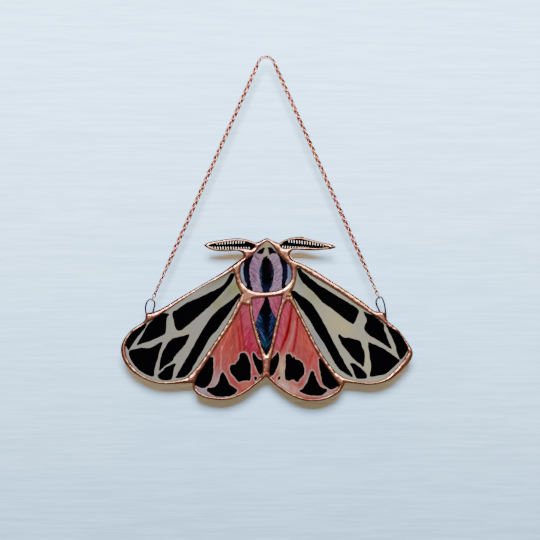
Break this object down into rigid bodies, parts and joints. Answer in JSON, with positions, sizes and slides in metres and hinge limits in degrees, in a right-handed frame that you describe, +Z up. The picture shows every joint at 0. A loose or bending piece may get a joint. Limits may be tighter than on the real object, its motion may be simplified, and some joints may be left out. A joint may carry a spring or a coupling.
{
  "type": "stained glass moth suncatcher",
  "caption": "Hanging copper-foil stained glass tiger moth: painted glass wings and body in a solder net, with wire loops and a fine chain to hang it from a nail.",
  "frame": {"origin": "underside of the chain at the top of its bend, where it lies on a nail", "axes": "+Z up along the hanging height, +X to the right across the wings, the painted face towards -Y"},
  "size_m": [0.18, 0.005, 0.2131],
  "materials": {
    "copper_solder": "glossy copper patina on lumpy hand-run solder",
    "forewing_glass": "glossy grey-beige glass with fired black markings",
    "hindwing_glass": "glossy streaky crimson and coral glass with fired black spots",
    "thorax_glass": "glossy glass painted in mauve, grey and near-black",
    "abdomen_glass": "glossy glass painted in mauve-pink and navy",
    "antenna_glass": "glossy black glass with fine white comb strokes",
    "dark_copper_wire": "dark satin copper-plated wire",
    "rose_gold_chain": "polished rose gold plating"
  },
  "bodies": {
    "chain": {"hanging_chain": "rose_gold_chain", "left_end_link": "rose_gold_chain", "right_end_link": "rose_gold_chain"},
    "moth": {"solder_frame": "copper_solder", "left_forewing_glass": "forewing_glass", "right_forewing_glass": "forewing_glass", "left_hindwing_glass": "hindwing_glass", "right_hindwing_glass": "hindwing_glass", "thorax_glass": "thorax_glass", "abdomen_glass": "abdomen_glass", "left_antenna_glass": "antenna_glass", "right_antenna_glass": "antenna_glass", "left_hanging_loop": "dark_copper_wire", "right_hanging_loop": "dark_copper_wire"}
  },
  "joints": [
    {"name": "panel_swing", "type": "hinge", "parent": "chain", "child": "moth", "pos_m": [0, 0, -0.14765], "axis": [0.9999, 0, 0.0102], "range_deg": [-90, 90]}
  ]
}
